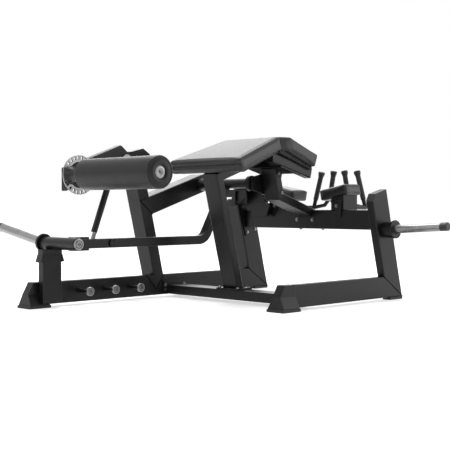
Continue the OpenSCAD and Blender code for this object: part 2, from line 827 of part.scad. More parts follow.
module roller_arm() {
  color("#2b2b2d") difference() {
    union() {
      arm_frame() difference() {
        translate([-103, arm_y + 25, 0]) rotate([90, 0, 90]) linear_extrude(491)
          tube_face(50, arm_h);
        translate([347.6, 0, arm_h / 2]) rotate([0, 58, 0]) translate([0, 0, 0])
          cube([300, big, 300]);
      }
      bar_y(knee_px, knee_pz, arm_y - 2, arm_y + 54, 45);
      bar_y(disc_x, disc_z, crank_y0 - 10, arm_y + 2, crank_r);
    }
    bar_y(knee_px, knee_pz, 0, arm_y + 60, shaft_r + run_fit);
    block([-big, 0, 0], [-828, big, big]);
  }
}

module selector_disc() {
  color("#c9cbcd") difference() {
    union() {
      bar_y(disc_x, disc_z, disc_y, disc_y + 8, disc_r, 96);
      bar_y(disc_x, disc_z, disc_y + 8, arm_y, 46);
    }
    bar_y(disc_x, disc_z, disc_y - 1, disc_y + 3, 69, 72);
    bar_y(disc_x, disc_z, disc_y - 1, arm_y + 1, crank_r);
    translate([disc_x, disc_y + 9, disc_z]) rotate([90, 0, 0]) linear_extrude(10)
      for (i = [0 : 23]) rotate(15 * i + pin_a) pin_slot();
  }
}

// short radial slot that takes the pull pin at its inner end
module pin_slot() {
  translate([pin_r, 0]) circle(r = 5.6, $fn = 24);
  translate([pin_r + 8, 0]) circle(r = 5.6, $fn = 24);
  translate([pin_r, -5.6]) square([8, 11.2]);
}

// crank plate about the disc centre, with a lobe for the roller and one for the pin
module crank_plan() {
  way = atan2(roller_z - disc_z, roller_x - disc_x);
  reach = norm([roller_x - disc_x, roller_z - disc_z]);
  circle(r = 42, $fn = 48);
  rotate(way) translate([reach, 0]) circle(r = 36, $fn = 48);
  rotate(way) translate([0, -30]) square([reach, 60]);
  rotate(pin_a) translate([pin_r, 0]) circle(r = 20, $fn = 48);
  rotate(pin_a) translate([0, -15]) square([pin_r, 30]);
}

module roller_crank() {
  px = disc_x + pin_r * cos(pin_a);
  pz = disc_z + pin_r * sin(pin_a);
  color("#202022") difference() {
    union() {
      translate([disc_x, crank_y1, disc_z]) rotate([90, 0, 0])
        linear_extrude(crank_y1 - crank_y0) crank_plan();
      bar_y(px, pz, crank_y0 - 22, crank_y0 + 3, 13);
    }
    bar_y(disc_x, disc_z, 0, rail_in, crank_r + run_fit);
    bar_y(px, pz, 0, rail_in, 5 + run_fit);
    bar_y(px, pz, crank_y0 - 16, crank_y0 + 4, 9 + run_fit, 32);
  }
}

module roller_spindle() {
  color("#2b2b2d") {
    bar_y(roller_x, roller_z, foam_y0 - 6, crank_y0, 15);
    bar_y(roller_x, roller_z, foam_y1 + 12, crank_y0, sleeve_r);
    translate([roller_x, foam_y1 + 12, roller_z]) rotate([-90, 0, 0])
      cylinder(h = 16, r1 = 40, r2 = sleeve_r, $fn = 48);
    translate([roller_x, crank_y0 - 16, roller_z]) rotate([-90, 0, 0])
      cylinder(h = 16, r1 = sleeve_r, r2 = 38, $fn = 48);
  }
}

module roller_cap() {
  color("#c9cbcd") translate([roller_x, foam_y0 - 20, roller_z]) rotate([-90, 0, 0])
    ring_cap(32, 14);
}

module roller_core() {
  color("#202022") difference() {
    union() {
      bar_y(roller_x, roller_z, foam_y0 - 4, foam_y1 + 8, foam_core);
      bar_y(roller_x, roller_z, foam_y0 - 4, foam_y0 - soft_fit, 60);
      bar_y(roller_x, roller_z, foam_y1 + soft_fit, foam_y1 + 8, 60);
    }
    bar_y(roller_x, roller_z, -600, 400, 15 + run_fit);
  }
}

module roller_foam() {
  color("#2a2a2c") difference() {
    translate([roller_x, foam_y0, roller_z]) rotate([-90, 0, 0])
      rotate_extrude($fn = 72)
        polygon(concat([[0, 0]],
          [for (a = [0 : 15 : 90]) [foam_r - 14 + 14 * sin(a), 14 - 14 * cos(a)]],
          [for (a = [0 : 15 : 90])
            [foam_r - 14 + 14 * cos(a), foam_y1 - foam_y0 - 14 + 14 * sin(a)]],
          [[0, foam_y1 - foam_y0]]));
    bar_y(roller_x, roller_z, -600, 400, foam_core + soft_fit);
  }
}

module pull_pin() {
  px = disc_x + pin_r * cos(pin_a);
  pz = disc_z + pin_r * sin(pin_a);
  color("#8f9194") {
    bar_y(px, pz, crank_y0 - 30 - pin_out, disc_y + 7.4 - pin_out, 5, 32);
    bar_y(px, pz, crank_y0 - 3 - pin_out, crank_y0 + 3.9 - pin_out, 9, 32);
  }
  color("#151516") {
    bar_y(px, pz, crank_y0 - 60 - pin_out, crank_y0 - 30 - pin_out, 15, 32);
  }
}

module lever_bar() {
  x1 = lever_px - (lever_pz - lever_z) / tan(60) - lever_bend * tan(30);
  color("#2b2b2d") difference() {
    union() {
      slope_tube([sleeve_x, lever_z], 0, x1 - sleeve_x, lever_y + lever_t / 2, lever_t, lever_t);
      translate([x1, lever_y + lever_t / 2, lever_z + lever_bend]) rotate([90, 0, 0])
        rotate([0, 0, -90]) rotate_extrude(angle = 60, $fn = 96)
          translate([lever_bend, 0]) tube_face(lever_t, lever_t);
      bar_y(link_x0, link_z0, lever_y + lever_t - 1, lever_y + lever_t + 43, 7, 32);
    }
    bar_y(sleeve_x, lever_z + 0.5, 0, 700, sleeve_r);
    bar_y(-633, lever_z, lever_y - 10, lever_y + 3, 19);
  }
}

module lever_upright() {
  x1 = lever_px - (lever_pz - lever_z) / tan(60) - lever_bend * tan(30);
  p = [x1 + lever_bend * sin(60), lever_z + lever_bend * (1 - cos(60))];
  color("#2b2b2d") difference() {
    union() {
      slope_tube(p, 60, norm([lever_px, lever_pz] - p), lever_y + lever_t / 2, lever_t, lever_t);
      bar_y(lever_px, lever_pz, 92, 428, 29);
    }
    bar_y(lever_px, lever_pz, 0, rail_in, shaft_r + run_fit);
  }
}

module lever_end() {
  color("#2b2b2d") difference() {
    slope_tube([sleeve_x, lever_z + 0.5], 0, 97, lever_y + lever_t / 2 + 6, lever_t, 72, 5);
    block([-big, 0, lever_z - lever_t / 2], [0, lever_y + lever_t, lever_z + lever_t / 2]);
    bar_y(sleeve_x, lever_z + 0.5, 0, 700, sleeve_r);
  }
}

module lever_sleeve() {
  color("#2b2b2d") {
    bar_y(sleeve_x, lever_z + 0.5, sleeve_y0, sleeve_y1, sleeve_r);
    horn_frame(sleeve_x, horn_y0, lever_z + 4, 1, load_tilt) translate([0, 0, -14])
      cylinder(h = 14, r = 48, $fn = 64);
  }
}

module sleeve_cap() {
  color("#c9cbcd") translate([sleeve_x, sleeve_y0 - 10, lever_z + 0.5]) rotate([-90, 0, 0])
    ring_cap(30, 10);
}

module loading_horn() {
  l = horn_len(horn_y0, load_tilt, horn_r - 3);
  color("#b9bbbe") horn_frame(sleeve_x, horn_y0, lever_z + 4, 1, load_tilt) {
    cylinder(h = l - 3, r = horn_r, $fn = 64);
    translate([0, 0, l - 3]) cylinder(h = 3, r1 = horn_r, r2 = horn_r - 3, $fn = 64);
  }
}

module link_frame() {
  translate([link_x0, lever_y + lever_t + 15, link_z0])
    rotate([0, atan2(link_x1 - link_x0, link_z1 - link_z0), 0]) children();
}

module link_rod() {
  l = norm([link_x1 - link_x0, link_z1 - link_z0]);
  color("#202022") link_frame() translate([0, 8, 59]) cylinder(h = l - 89, r = link_r, $fn = 48);
}

module link_rod_ends() {
  l = norm([link_x1 - link_x0, link_z1 - link_z0]);
  color("#b9bbbe") difference() {
    link_frame() {
      for (d = [0, l]) translate([0, 0, d]) rotate([-90, 0, 0]) cylinder(h = 16, r = 17, $fn = 40);
      translate([0, 8, 14]) cylinder(h = 45, r = 7, $fn = 32);
      translate([0, 8, l - 30]) cylinder(h = 16, r = 7, $fn = 32);
      translate([0, 16, l]) rotate([-90, 0, 0])
        cylinder(h = arm_y - lever_y - lever_t - 31.4, r = 9, $fn = 32);
    }
    bar_y(link_x0, link_z0, lever_y, arm_y + 50, 7 + run_fit, 32);
  }
}

near_rail();
near_upright();
rail_feet();
peg_rail();
rear_left_rail();
rear_left_upright();
cross_rail();
shoes();
rear_foot_pads();
knee_upright();
inclined_beam();
knee_post();
knee_head();
knee_bearing();
knee_shaft();
stop_post();
stop_cap();
storage_pegs();
peg_caps();
centre_upright();
base_plate();
pad_support_tube();
pad_post();
pad_brace();
upper_beam();
beam_flanges();
hip_board();
hip_pad();
chest_rails();
chest_board();
chest_pad();
elbow_brackets();
near_elbow_pad();
far_elbow_pad();
side_rest_bracket();
side_rest_pad();
handle_tubes();
hand_grips();
storage_sleeve();
storage_horn();
storage_horn_cap();
frame_bolts();
lever_shaft();
lever_bearing();
roller_arm();
selector_disc();
roller_crank();
roller_spindle();
roller_cap();
roller_core();
roller_foam();
pull_pin();
lever_bar();
lever_upright();
lever_end();
lever_sleeve();
sleeve_cap();
loading_horn();
link_rod();
link_rod_ends();
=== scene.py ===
import json
from math import atan2, cos, exp, pi, radians, sin, tan

import bpy
from mathutils import Matrix, Vector

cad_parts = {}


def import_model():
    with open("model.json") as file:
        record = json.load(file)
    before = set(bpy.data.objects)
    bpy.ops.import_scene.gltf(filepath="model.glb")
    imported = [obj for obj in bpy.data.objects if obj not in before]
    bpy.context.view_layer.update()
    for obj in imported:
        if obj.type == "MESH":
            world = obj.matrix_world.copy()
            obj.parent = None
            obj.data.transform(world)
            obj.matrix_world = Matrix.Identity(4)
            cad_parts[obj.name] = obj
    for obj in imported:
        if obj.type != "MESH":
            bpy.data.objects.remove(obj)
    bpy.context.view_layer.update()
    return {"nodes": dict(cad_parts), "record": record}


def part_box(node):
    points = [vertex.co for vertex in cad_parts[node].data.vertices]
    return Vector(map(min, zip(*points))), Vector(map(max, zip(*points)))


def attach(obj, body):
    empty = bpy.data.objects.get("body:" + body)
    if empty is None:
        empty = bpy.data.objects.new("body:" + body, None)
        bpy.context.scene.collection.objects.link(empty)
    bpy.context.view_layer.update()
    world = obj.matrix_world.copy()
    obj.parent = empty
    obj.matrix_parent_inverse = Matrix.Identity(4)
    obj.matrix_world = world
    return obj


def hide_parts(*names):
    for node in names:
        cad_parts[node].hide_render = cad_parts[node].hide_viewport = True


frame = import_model()
nodes = frame["nodes"]
MM = 0.001
INNER = 0.1 * MM  # lathed pieces stop this short of their axis

# camera, as solved from the photograph's parallel frame tubes
CAMERA_AT = (-3.797, -3.760, 0.540)
CAMERA_YAW = 45.0
CAMERA_PITCH = 1.14
CAMERA_LENS = 76.4


# material helpers

def start_material(name):
    mat = bpy.data.materials.new(name)
    mat.use_nodes = True
    tree = mat.node_tree
    return mat, tree, tree.nodes["Principled BSDF"]


def add(tree, kind, links=(), **values):
    """A node with its sockets set by name and its inputs linked from other sockets."""
    node = tree.nodes.new(kind)
    for key, value in values.items():
        setattr(node, key, value)
    for socket, source in links:
        if hasattr(source, "links"):
            tree.links.new(source, node.inputs[socket])
        else:
            node.inputs[socket].default_value = source
    return node


def place(tree, scale=(1, 1, 1)):
    where = add(tree, "ShaderNodeTexCoord")
    return add(tree, "ShaderNodeMapping", [(0, where.outputs["Object"]), ("Scale", scale)]).outputs[0]


def noise(tree, size, detail=3.0, stretch=(1, 1, 1)):
    """Noise whose grains are about size millimetres across."""
    node = add(tree, "ShaderNodeTexNoise", [
        ("Vector", place(tree, stretch)), ("Scale", 1000.0 / size), ("Detail", detail)])
    return node.outputs["Fac"]


def spread(tree, value, low, high):
    return add(tree, "ShaderNodeMapRange", [
        (0, value), (1, 0.25), (2, 0.75), (3, low), (4, high)]).outputs[0]


def tint(tree, value, dark, light):
    mix = add(tree, "ShaderNodeMix", data_type="RGBA")
    tree.links.new(value, mix.inputs[0])
    mix.inputs[6].default_value = (*dark, 1)
    mix.inputs[7].default_value = (*light, 1)
    return mix.outputs[2]


def bump(tree, height, depth, normal=None):
    """A bump of depth millimetres."""
    links = [("Height", height), ("Strength", 1.0), ("Distance", depth * MM)]
    if normal is not None:
        links.append(("Normal", normal))
    return add(tree, "ShaderNodeBump", links).outputs[0]


def round_edges(tree, radius):
    return add(tree, "ShaderNodeBevel", [("Radius", radius * MM)], samples=4).outputs[0]


def surface(name, dark, light, rough, grain, depth, metallic=0.0, stretch=(1, 1, 1),
            edge=1.2, specular=0.5, blotch=60.0):
    """One finish: two tones, uneven roughness, a fine grain and softened edges."""
    mat, tree, bsdf = start_material(name)
    link = tree.links.new
    patches = noise(tree, blotch)
    fine = noise(tree, grain, 4.0, stretch)
    link(tint(tree, spread(tree, patches, 0, 1), dark, light), bsdf.inputs["Base Color"])
    both = add(tree, "ShaderNodeMath", [(0, patches), (1, fine)], operation="MULTIPLY").outputs[0]
    rough_map = add(tree, "ShaderNodeMapRange", [(0, both), (1, 0.1), (2, 0.4), (3, rough[0]), (4, rough[1])])
    link(rough_map.outputs[0], bsdf.inputs["Roughness"])
    link(bump(tree, fine, depth, round_edges(tree, edge)), bsdf.inputs["Normal"])
    bsdf.inputs["Metallic"].default_value = metallic
    bsdf.inputs["Specular IOR Level"].default_value = specular
    return mat


# the seam's groove is flat to SEAM_FLOOR from its line and gone at SEAM_HALF_WIDTH
SEAM_FLOOR, SEAM_HALF_WIDTH = 0.3 * MM, 1.6 * MM


def vinyl_material():
    """Grained upholstery vinyl, with a stitched seam where the pads' seam_off is zero, the seam's groove
    darkened as painted shade.
    """
    mat, tree, bsdf = start_material("grained_vinyl")
    link = tree.links.new
    cells = add(tree, "ShaderNodeTexVoronoi", [("Vector", place(tree)), ("Scale", 620.0)])
    grain = add(tree, "ShaderNodeMath", [(0, cells.outputs["Distance"]), (1, noise(tree, 1.1))],
                operation="MULTIPLY").outputs[0]
    seam = add(tree, "ShaderNodeAttribute", attribute_name="seam_off").outputs["Fac"]
    away = add(tree, "ShaderNodeMath", [(0, seam)], operation="ABSOLUTE").outputs[0]
    groove = add(tree, "ShaderNodeMapRange", [
        (0, away), (1, SEAM_FLOOR), (2, SEAM_HALF_WIDTH), (3, 0.0), (4, 1.0)]).outputs[0]
    tone = tint(tree, spread(tree, noise(tree, 45.0), 0, 1), (0.013, 0.013, 0.0133), (0.018, 0.018, 0.0185))
    # painted shade: the base colour is darkened towards 0.006 in the seam's groove
    painted_seam_shade = add(tree, "ShaderNodeMix", data_type="RGBA")
    link(groove, painted_seam_shade.inputs[0])
    painted_seam_shade.inputs[6].default_value = (0.006, 0.006, 0.006, 1)
    link(tone, painted_seam_shade.inputs[7])
    link(painted_seam_shade.outputs[2], bsdf.inputs["Base Color"])
    link(spread(tree, noise(tree, 7.0), 0.32, 0.41), bsdf.inputs["Roughness"])
    fine = bump(tree, grain, 0.16)
    link(bump(tree, groove, 1.1, fine), bsdf.inputs["Normal"])
    bsdf.inputs["Specular IOR Level"].default_value = 0.4
    return mat


# finish of each material slot: dark and light tone, roughness range, grain size and depth in millimetres
DIRECT = {
    "frame_paint": surface("satin_black_coat", (0.007, 0.007, 0.0073), (0.010, 0.010, 0.0105),
                           (0.30, 0.40), 0.9, 0.03, edge=1.8, specular=0.26),
    "rubber": surface("moulded_rubber", (0.010, 0.010, 0.010), (0.018, 0.018, 0.018),
                      (0.55, 0.75), 0.7, 0.10, edge=1.5),
    "plastic": surface("black_plastic", (0.012, 0.012, 0.012), (0.018, 0.018, 0.018),
                       (0.35, 0.5), 0.6, 0.04),
    "board": surface("pad_board", (0.014, 0.013, 0.012), (0.022, 0.021, 0.020), (0.6, 0.8), 1.5, 0.12),
    "foam": surface("roller_cover", (0.010, 0.010, 0.0105), (0.014, 0.014, 0.0145),
                    (0.36, 0.46), 0.8, 0.05, specular=0.28),
    "chrome": surface("brushed_horn", (0.24, 0.24, 0.24), (0.32, 0.32, 0.32), (0.24, 0.40), 0.8, 0.02,
                      metallic=1.0, stretch=(1, 0.03, 1)),
    "steel": surface("turned_steel", (0.26, 0.26, 0.265), (0.36, 0.36, 0.36), (0.25, 0.38), 0.6, 0.02,
                     metallic=1.0, stretch=(1, 0.2, 1)),
    "silver_cap": surface("satin_silver", (0.22, 0.22, 0.22), (0.32, 0.32, 0.315), (0.28, 0.40), 0.5, 0.03,
                          metallic=1.0, edge=0.6),
    "bolt_steel": surface("zinc_bolt", (0.18, 0.18, 0.18), (0.27, 0.27, 0.265), (0.28, 0.42), 0.6, 0.02,
                          metallic=1.0, edge=0.5),
    "vinyl": vinyl_material(),
}

# painted shade: a near-black, unreflecting finish for the shade in the joints between tubes and at the bottom
# of the lever's notch
PAINTED_GAP_SHADE = surface("painted_gap_shade", (0.001, 0.001, 0.001), (0.002, 0.002, 0.002),
                   (0.9, 1.0), 1.0, 0.02, specular=0.0)

for part in frame["record"]["subparts"]:
    cad = nodes[part["node"]]
    cad.data.materials.clear()
    cad.data.materials.append(DIRECT[part["material_slot"]])


# mesh helpers

def mesh_piece(name, points, faces, slot, body, smooth=True):
    mesh = bpy.data.meshes.new(name)
    mesh.from_pydata(points, [], faces)
    mesh.update()
    obj = bpy.data.objects.new(name, mesh)
    bpy.context.scene.collection.objects.link(obj)
    mesh.polygons.foreach_set("use_smooth", [smooth] * len(mesh.polygons))
    mesh.materials.append(DIRECT[slot])
    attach(obj, body)
    return obj


def lathe(name, centre, axis, profile, slot, body, turns=72):
    """A closed profile of (radius, distance along the axis), spun around the axis."""
    turn = Vector((0, 0, 1)).rotation_difference(Vector(axis).normalized())
    points = []
    for i in range(turns):
        a = 2 * pi * i / turns
        for r, d in profile:
            points.append(Vector(centre) + turn @ Vector((r * cos(a), r * sin(a), d)))
    n = len(profile)
    faces = []
    for i in range(turns):
        for k in range(n):
            a, b = i * n, (i + 1) % turns * n
            faces.append((a + k, b + k, b + (k + 1) % n, a + (k + 1) % n))
    return mesh_piece(name, points, faces, slot, body)


def ring(name, centre, axis, radius, thick, slot, body):
    """A round ring of ten sides, thick metres in section radius."""
    profile = [(radius + thick * cos(pi * k / 5), thick * sin(pi * k / 5)) for k in range(10)]
    return lathe(name, centre, axis, profile, slot, body, 40)


def bead(name, start, end, radius, slot, body):
    """A thin straight bead between two points, in millimetres."""
    a, b = (Vector(p) * MM for p in (start, end))
    r, long = radius * MM, (b - a).length
    return lathe(name, a, b - a, [(INNER, 0), (r, 0), (r, long), (INNER, long)], slot, body, 12)


def disc(name, centre, radius, thick, slot, body):
    """A flat disc, facing -y."""
    return lathe(name, centre, (0, -1, 0), [(INNER, 0), (radius, 0), (radius, thick), (INNER, thick)],
                 slot, body, 48)


GROOVE_SHARES = (0.16, 0.32, 0.65)  # of the cap's radius
GROOVE_THICK = 0.9 * MM


def cap_grooves(name, centre, radius, body):
    """Turned grooves on a cap of radius millimetres whose face looks to -y, as black rings that stand in for
    the grooves' shade: painted shade.
    """
    for k, share in enumerate(GROOVE_SHARES):
        ring(f"{name}_groove_{k}", centre, (0, 1, 0), share * radius * MM, GROOVE_THICK, "frame_paint", body)


def plate(name, x0, x1, corners):
    """A flat plate between two x planes, its corners given as (y, z), all in millimetres."""
    n = len(corners)
    points = [(x * MM, y * MM, z * MM) for x in (x0, x1) for y, z in corners]
    faces = [tuple(range(n)), tuple(reversed(range(n, 2 * n)))]
    faces += [(i, i + n, (i + 1) % n + n, (i + 1) % n) for i in range(n)]
    mesh_piece(name, points, faces, "frame_paint", "frame", smooth=False)


# pad helpers

SWELL_FRAMES = 14
SWELL_PRESSURE = 2.0
SWELL_MOST = 2.5 * MM
PAD_VOXEL = 5 * MM
FOOT_END = 12  # what lies nearer the foot end than this belongs to that face
TUCK_SPREAD = 7  # how far from the front seam the cover is drawn in


def inflate(obj, pressure, most):
    """Swells a closed mesh as pressed cloth, no point further than most metres."""
    rest = [v.co.copy() for v in obj.data.vertices]
    cloth = obj.modifiers.new("swell", "CLOTH")
    cloth.settings.use_pressure = True
    cloth.settings.uniform_pressure_force = pressure
    cloth.settings.quality = 5
    cloth.settings.tension_stiffness = 25
    cloth.settings.compression_stiffness = 25
    cloth.settings.effector_weights.gravity = 0
    scene = bpy.context.scene
    for step in range(1, SWELL_FRAMES + 1):
        scene.frame_set(step)
    done = obj.evaluated_get(bpy.context.evaluated_depsgraph_get()).to_mesh()
    moved = [v.co.copy() for v in done.vertices]
    obj.modifiers.remove(cloth)
    scene.frame_set(1)
    for v, a, b in zip(obj.data.vertices, rest, moved):
        step = b - a
        if step.length > most:
            step = step.normalized() * most
        v.co = a + step


def outline(corners, radius, inset, steps=5):
    """A convex polygon with rounded corners, drawn in by inset, as (x, y) in millimetres."""
    points = []
    for i, corner in enumerate(corners):
        v = Vector(corner)
        into = (v - Vector(corners[i - 1])).normalized()
        out = (Vector(corners[(i + 1) % len(corners)]) - v).normalized()
        inward = (out - into).normalized()
        centre = v + inward * radius / inward.dot(Vector((-into.y, into.x)))
        start = atan2(-into.x, into.y)
        turn = into.angle(out)
        for k in range(steps + 1):
            a = start + turn * k / steps
            points.append((centre.x + (radius - inset) * cos(a), centre.y + (radius - inset) * sin(a)))
    return points


def stuffed_block(corners, thick, radius, roll):
    """A closed block over a rounded outline, with a wide roll at the top and a small one below."""
    levels = [(5, 0), (2, 0.8), (0.6, 2.5), (0, 5)]
    levels += [(roll * (1 - cos(radians(a))), thick - roll * (1 - sin(radians(a)))) for a in range(0, 91, 15)]
    rows = [[(x, y, z) for x, y in outline(corners, radius, inset)] for inset, z in levels]
    n = len(rows[0])
    points = [p for row in rows for p in row]
    faces = [tuple(reversed(range(n))), tuple(range(len(points) - n, len(points)))]
    for i in range(len(rows) - 1):
        for k in range(n):
            faces.append((i * n + k, i * n + (k + 1) % n, (i + 1) * n + (k + 1) % n, (i + 1) * n + k))
    return [tuple(c * MM for c in p) for p in points], faces


def even_cover(node, points, faces):
    """An object with these faces, remeshed to an even size."""
    flat = bpy.data.meshes.new(node + "_flat")
    flat.from_pydata(points, [], faces)
    obj = bpy.data.objects.new(node + "_cover", flat)
    bpy.context.scene.collection.objects.link(obj)
    remesh = obj.modifiers.new("even", "REMESH")
    remesh.mode = "VOXEL"
    remesh.voxel_size = PAD_VOXEL
    even = bpy.data.meshes.new_from_object(obj.evaluated_get(bpy.context.evaluated_depsgraph_get()))
    obj.modifiers.clear()
    obj.data = even
    return obj


def folded(at, flat, bend, length):
    """Folds what lies past flat down by bend, with a mitred crease."""
    past = at.x - flat
    side = at.z * tan(bend / 2)
    if past <= 0:
        return Vector((at.x + side * max(at.x, 0) / flat, at.y, at.z))
    along = past - side * (1 - past / (length - flat))
    return Vector((flat + along * cos(bend) + at.z * sin(bend), at.y, at.z * cos(bend) - along * sin(bend)))


def turned(at, axis, degrees, depth=0.0):
    """Where a pad sits: turned about axis at a point in millimetres, depth below that point."""
    return (Matrix.Translation([c * MM for c in at]) @ Matrix.Rotation(radians(degrees), 4, axis)
            @ Matrix.Translation((0, 0, -depth * MM)))


def pad(node, corners, thick, seat, seams, crown=4, fold=None, roll=16, tuck=0):
    """The stuffed pad that stands for a CAD cushion, made flat, then folded and seated.

    Sizes are in millimetres. seams holds the seam's height on the foot-end face and on the other
    faces, crown is the rise of the top, tuck the depth of the foot-end seam, and fold the length
    before the fold with its angle in degrees.
    """
    obj = even_cover(node, *stuffed_block(corners, thick, roll + 4, roll))
    inflate(obj, SWELL_PRESSURE, SWELL_MOST)
    even = obj.data
    xs = [x for x, y in corners]
    centre = (min(xs) + max(xs)) / 2 * MM
    reach = (max(xs) - min(xs)) / 2 * MM
    middle = sum(y for x, y in corners) / len(corners) * MM
    half_width = max(y for x, y in corners) * MM - middle
    off = []
    for v in even.vertices:
        x, y, z = v.co
        front, level = x < FOOT_END * MM, z / MM
        off.append((level - seams[0 if front else 1]) * MM)
        if front:
            v.co.x += tuck * MM * exp(-((level - seams[0]) / TUCK_SPREAD) ** 2)
        if level > thick / 2:
            swell = max(0, 1 - ((x - centre) / reach) ** 2) * max(0, 1 - ((y - middle) / half_width) ** 2)
            v.co.z += crown * MM * swell ** 0.5
        if fold:
            v.co = folded(v.co, fold[0] * MM, radians(fold[1]), max(xs) * MM)
        v.co = seat @ v.co
    seam_off = even.attributes.new("seam_off", "FLOAT", "POINT")
    seam_off.data.foreach_set("value", off)
    even.polygons.foreach_set("use_smooth", [True] * len(even.polygons))
    even.materials.clear()
    even.materials.append(DIRECT["vinyl"])
    smooth = obj.modifiers.new("smooth", "SUBSURF")
    smooth.levels = smooth.render_levels = 1
    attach(obj, "frame")
    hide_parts(node)


# pads, as corners of the outline from the foot end, in millimetres

HIP_SLOPE = 19.3
HIP_THICK = 75.2
HIP_OUTLINE = [(0, -279), (425, -210), (425, 210), (0, 279)]
CHEST_FOLD = (81, 20.5)
CHEST_OUTLINE = [(1, -164), (78, -191), (326, -191), (326, 191), (78, 191), (1, 164)]
CHEST_THICK = 74
ELBOW_TILT = 11
ELBOW_THICK = 62
ELBOW_OUTLINE = [(1, 0), (150, 0), (150, 201), (1, 201)]
ELBOW_AT = (654, 115, 570.3)
SIDE_REST_OUTLINE = [(0, -100), (150, -100), (150, 100), (0, 100)]
SIDE_REST_THICK = 66

pad("hip_pad", HIP_OUTLINE, HIP_THICK, turned((-216, 0, 788), "Y", -HIP_SLOPE, HIP_THICK), (40, 9), tuck=9)
pad("chest_pad", CHEST_OUTLINE, CHEST_THICK, turned((211, 0, 853.4), "Y", 0), (8, 6),
    crown=3, fold=CHEST_FOLD, roll=8)
pad("far_elbow_pad", ELBOW_OUTLINE, ELBOW_THICK, turned(ELBOW_AT, "X", ELBOW_TILT), (8, 8), crown=2, roll=9)
pad("near_elbow_pad", [(x, -y) for x, y in reversed(ELBOW_OUTLINE)], ELBOW_THICK,
    turned((ELBOW_AT[0], -ELBOW_AT[1], ELBOW_AT[2]), "X", -ELBOW_TILT), (8, 8), crown=2, roll=9)
pad("side_rest_pad", SIDE_REST_OUTLINE, SIDE_REST_THICK, turned((553, 424, 643.4), "X", 0), (8, 8),
    crown=2, roll=10)


# roller cover, a snug sleeve with rolled ends

ROLLER_X, ROLLER_Z = -0.841, 0.700
ROLLER_HOLE = 34 * MM
ROLLER_LIP = 10 * MM  # the padded end stands this far past the CAD sleeve, round the sunk cap
ROLLER_ROLL = 11 * MM
SNUG = 2 * MM  # how much wider than the CAD sleeve the cover is


def roller_cover():
    low, high = (Vector(c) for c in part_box("roller_foam"))
    r = (high.z - low.z) / 2 + SNUG
    length = high.y - low.y
    roll = ROLLER_ROLL
    quarter = [radians(9 * k) for k in range(11)]
    profile = [(ROLLER_HOLE, 0), (ROLLER_HOLE, 1.5 * MM - ROLLER_LIP), (ROLLER_HOLE + 1.5 * MM, -ROLLER_LIP),
               (r - roll - 4 * MM, -ROLLER_LIP), (r - roll - 2.4 * MM, 3 * MM - ROLLER_LIP)]
    profile += [(r - roll + roll * sin(a), roll - ROLLER_LIP - roll * cos(a)) for a in quarter]
    profile += [(r - 0.4 * MM * sin(pi * k / 8), roll + (length - 2 * roll) * k / 8) for k in range(1, 8)]
    profile += [(r - roll + roll * cos(a), length - roll + roll * sin(a)) for a in quarter]
    profile += [(r - roll - 3 * MM, length - 0.5 * MM), (ROLLER_HOLE, length - 3 * MM)]
    middle = (low + high) / 2
    obj = lathe("roller_cover", (middle.x, low.y, middle.z), (0, 1, 0), profile, "foam", "roller", 96)
    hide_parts("roller_foam")
    ring("roller_far_seam", (middle.x, high.y - 0.4 * MM, middle.z), (0, 1, 0), r - roll, 1 * MM,
         "foam", "roller")


roller_cover()


# ribs moulded on the hand grips: foot and top as (y, z), then where the ribs start and stop

GRIP_X = 0.982
GRIPS = {"outer": ((205, 530), (139, 757), 60, 195), "inner": ((74, 590), (42, 757), 22, 134)}
RIB_STEP = 9
RIB_RADIUS, RIB_THICK = 15.2 * MM, 1.1 * MM
for side, sign in (("near", -1), ("far", 1)):
    for which, (foot, top, first, last) in GRIPS.items():
        a = Vector((GRIP_X, sign * foot[0] * MM, foot[1] * MM))
        b = Vector((GRIP_X, sign * top[0] * MM, top[1] * MM))
        way = (b - a).normalized()
        for k in range((last - first) // RIB_STEP + 1):
            at = a + way * (first + k * RIB_STEP) * MM
            ring(f"{side}_{which}_grip_rib_{k}", at, way, RIB_RADIUS, RIB_THICK, "rubber", "frame")


# dark dished middle of the selector disc, in its recess

DISC_AT = (-0.772, 0.3526, 0.704)
lathe("disc_middle", DISC_AT, (0, -1, 0),
      [(15 * MM, -0.4 * MM), (15 * MM, 0.6 * MM), (66 * MM, 0.6 * MM), (68.6 * MM, -0.4 * MM)],
      "frame_paint", "arm", 96)


# turned caps

PEG_X = (-662, -486, -306)
PEG_Z = 0.077
ROLLER_CAP_OUT = 4.6 * MM  # the cap's rim stands this far past the CAD sleeve, inside the lip
sunk_cap_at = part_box("roller_foam")[0][1] - ROLLER_CAP_OUT
sunk_cap = lathe("roller_cap_turned", (ROLLER_X, sunk_cap_at, ROLLER_Z), (0, 1, 0),
                 [(INNER, -2 * MM), (29 * MM, -1.6 * MM), (31 * MM, 0), (31 * MM, 0.4 * MM),
                  (INNER, 0.4 * MM)],
                 "silver_cap", "crank")
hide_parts("roller_cap")
cap_grooves("roller_cap", (ROLLER_X, sunk_cap_at - 1.4 * MM, ROLLER_Z), 24, "crank")
for k, peg in enumerate(PEG_X):
    cap_grooves(f"peg_cap_{k}", (peg * MM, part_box("peg_caps")[0][1] + 0.2 * MM, PEG_Z), 24, "frame")
sleeve_low, sleeve_high = (Vector(c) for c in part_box("sleeve_cap"))
cap_grooves("sleeve_cap", ((sleeve_low.x + sleeve_high.x) / 2, sleeve_low.y + 0.2 * MM,
                           (sleeve_low.z + sleeve_high.z) / 2), 30, "lever")

